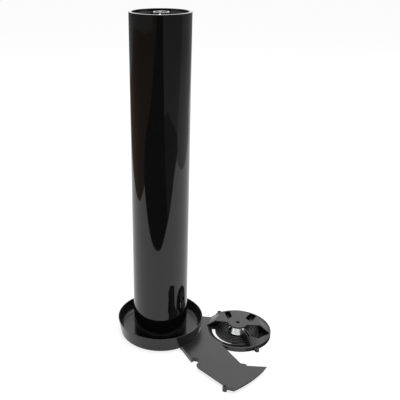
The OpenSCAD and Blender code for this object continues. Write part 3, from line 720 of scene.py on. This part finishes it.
def reflected(name, corners, paper):
    """A stage sheet that shows only where the object mirrors it."""
    card = sheet(name, corners, paper)
    card.visible_camera = card.visible_diffuse = card.visible_shadow = False


def on_floor(corners, height):
    """Corners (x, y) in metres at one height."""
    return [(x, y, height) for x, y in corners]


def white_sky():
    """White world: whole to the rays that show it, and three quarters as strong as a light."""
    world, wire, output = fresh("studio", world=True)
    light = wire.node("Background", {}, {"Color": grey(1), "Strength": 0.75})
    seen = wire.node("Background", {}, {"Color": grey(1), "Strength": 1.0})
    wire.node("MixShader", {}, {0: background_rays(wire), 1: light, 2: seen}).surface(output)
    return world


# The floor, and the heights at which thin sheets lie on it
FLOOR_END = 14
FLOOR_Z, NEAR_Z, BACK_Z, ROOM_Z, FAR_Z = -0.0002, 0.0001, 0.0002, 0.0004, 0.0006
floor_corners = [(FLOOR_END * x, FLOOR_END * y) for x, y in ((-1, -1), (1, -1), (1, 1), (-1, 1))]
sheet("floor", on_floor(floor_corners, FLOOR_Z), white_floor())

# Darker surroundings of the white floor, as sheets that only mirror rays see.
# Their outlines follow the seams that the photograph shows on the tube.
ROOM_END = 13.5
dark_card = card_paper("dark_room", 0.035)
shade_card = card_paper("shade_room", 0.11)
dim_card = card_paper("dim_room", 0.13, tint=(1.3, 0.9, 0.68))
soft_card = card_paper("soft_room", 0.27)
grey_card = card_paper("grey_room", 0.42)
front_edge = [(0.3, -0.56), (0.2, -0.54), (0.1, -0.505), (0.0, -0.465), (-0.1, -0.447), (-0.2, -0.43),
              (-0.4, -0.415)]
left_seam = [(-0.82, -0.4), (-1.14, -0.58), (-1.27, -0.9), (-1.2, -1.6), (-1.2, -ROOM_END)]
left_edge = [(-0.76, -0.05), (-0.78, 0.5), (-0.7, 1.1), (-0.6, ROOM_END)]
right_edge = [(0.6, -0.595), (0.75, -0.61), (0.95, -0.57), (1.18, -0.49)]
right_seam = [(1.35, -0.6), (1.3, -0.95), (1.1, -1.35), (0.9, -1.65), (0.43, -1.75)]
back_edge = [(ROOM_END, ROOM_END), (1.5, ROOM_END), (1.4, 1.3), (1.05, 1.0), (1.05, -0.54)]
front_corner = (1.73, -ROOM_END)
right_corner = (ROOM_END, -0.6)
for name, corners, paper in (
    ("front_room", [*left_seam, front_corner, *front_edge], dark_card),
    ("near_right_room", [front_edge[0], *right_edge, *right_seam], shade_card),
    ("far_right_room", [*right_seam[::-1], right_corner, (ROOM_END, -ROOM_END), front_corner], soft_card),
    ("left_room", [*left_seam[::-1], *left_edge, (-ROOM_END, ROOM_END), (-ROOM_END, -ROOM_END)], dim_card),
    ("right_room", [right_edge[-1], right_seam[0], right_corner, *back_edge], grey_card),
):
    reflected(name, on_floor(corners, ROOM_Z), paper)

# A lighter far end of the surroundings, which the tube mirrors at its upper left
far_light = [(-1.1, 2.3), (-2.0, 1.95), (-2.9, 1.64), (-4.2, 2.05), (-4.8, 0.9), (-4.75, 0.2), (-4.5, -1.2),
             (-3.2, -3.4), (-2.2, -4.1), (-6.5, -ROOM_END), (-ROOM_END, -ROOM_END), (-ROOM_END, ROOM_END),
             (-2.2, 7.0), (-1.0, 3.0)]
reflected("far_light", on_floor(far_light, FAR_Z), soft_card)

# A dark flag behind the camera, mirrored by the can of the motor
FLAG_X, FLAG_Y, FLAG_FOOT, FLAG_TOP = 1.2, -1.3, 0.6, 2.4
reflected("flag", [(-FLAG_X, FLAG_Y, FLAG_FOOT), (FLAG_X, FLAG_Y, FLAG_FOOT), (FLAG_X, FLAG_Y, FLAG_TOP),
                   (-FLAG_X, FLAG_Y, FLAG_TOP)], dark_card)

# Painted shadow: dark sheets on the floor close round the head and its chute, and a dim one behind the head,
# stand for the head's shade where its sides and the tube mirror the floor
painted_shade_card = card_paper("near_shade", 0.03)
head_shade = [(0.172, -0.092), (0.206, -0.083), (0.226, -0.066), (0.238, -0.048), (0.246, -0.025),
              (0.248, 0.0), (0.24, 0.032), (0.225, 0.056), (0.206, 0.073), (0.18, 0.072), (0.15, 0.057)]
chute_shade = [(0.1, -0.14), (0.146, -0.213), (0.156, -0.222), (0.175, -0.214), (0.196, -0.19),
               (0.213, -0.168), (0.214, -0.154), (0.163, -0.118), (0.13, -0.1)]
back_shade = [(0.12, 0.06), (0.22, 0.0), (0.32, -0.05), (0.4, 0.2), (0.12, 0.2)]
reflected("head_shade", on_floor(head_shade, NEAR_Z), painted_shade_card)
reflected("chute_shade", on_floor(chute_shade, NEAR_Z), painted_shade_card)
reflected("back_shade", on_floor(back_shade, BACK_Z), near_paper("back_painted_shade", level=0.2, reach=0.13))

scene.world = white_sky()
lamp("overhead_box", where=(0.1, 0.05, 2.4), aim=(0.1, -0.05, 0.0), size=1.8, watts=34)
lamp("back_panel", where=(0.1, 2.2, 2.0), aim=(0.1, 0.0, 0.1), size=3.0, watts=14)
lamp("right_panel", where=(2.1, 0.45, 1.75), aim=(0.16, -0.02, 0.0), size=1.4, watts=8)

# The camera, fitted to the photograph
CAMERA_PLACE = (0.0, -1.1008, 0.7571)
CAMERA_TILT = math.radians(67.13)
SENSOR_W, LENS, SHIFT_X = 36.0, 55.74, 0.0988
camera_data = bpy.data.cameras.new("camera")
camera_data.sensor_width = SENSOR_W
camera_data.lens = LENS
camera_data.shift_x = SHIFT_X
camera = bpy.data.objects.new("camera", camera_data)
camera.location = CAMERA_PLACE
camera.rotation_euler = (CAMERA_TILT, 0.0, 0.0)
scene.collection.objects.link(camera)
scene.camera = camera
scene.view_settings.view_transform = "Standard"
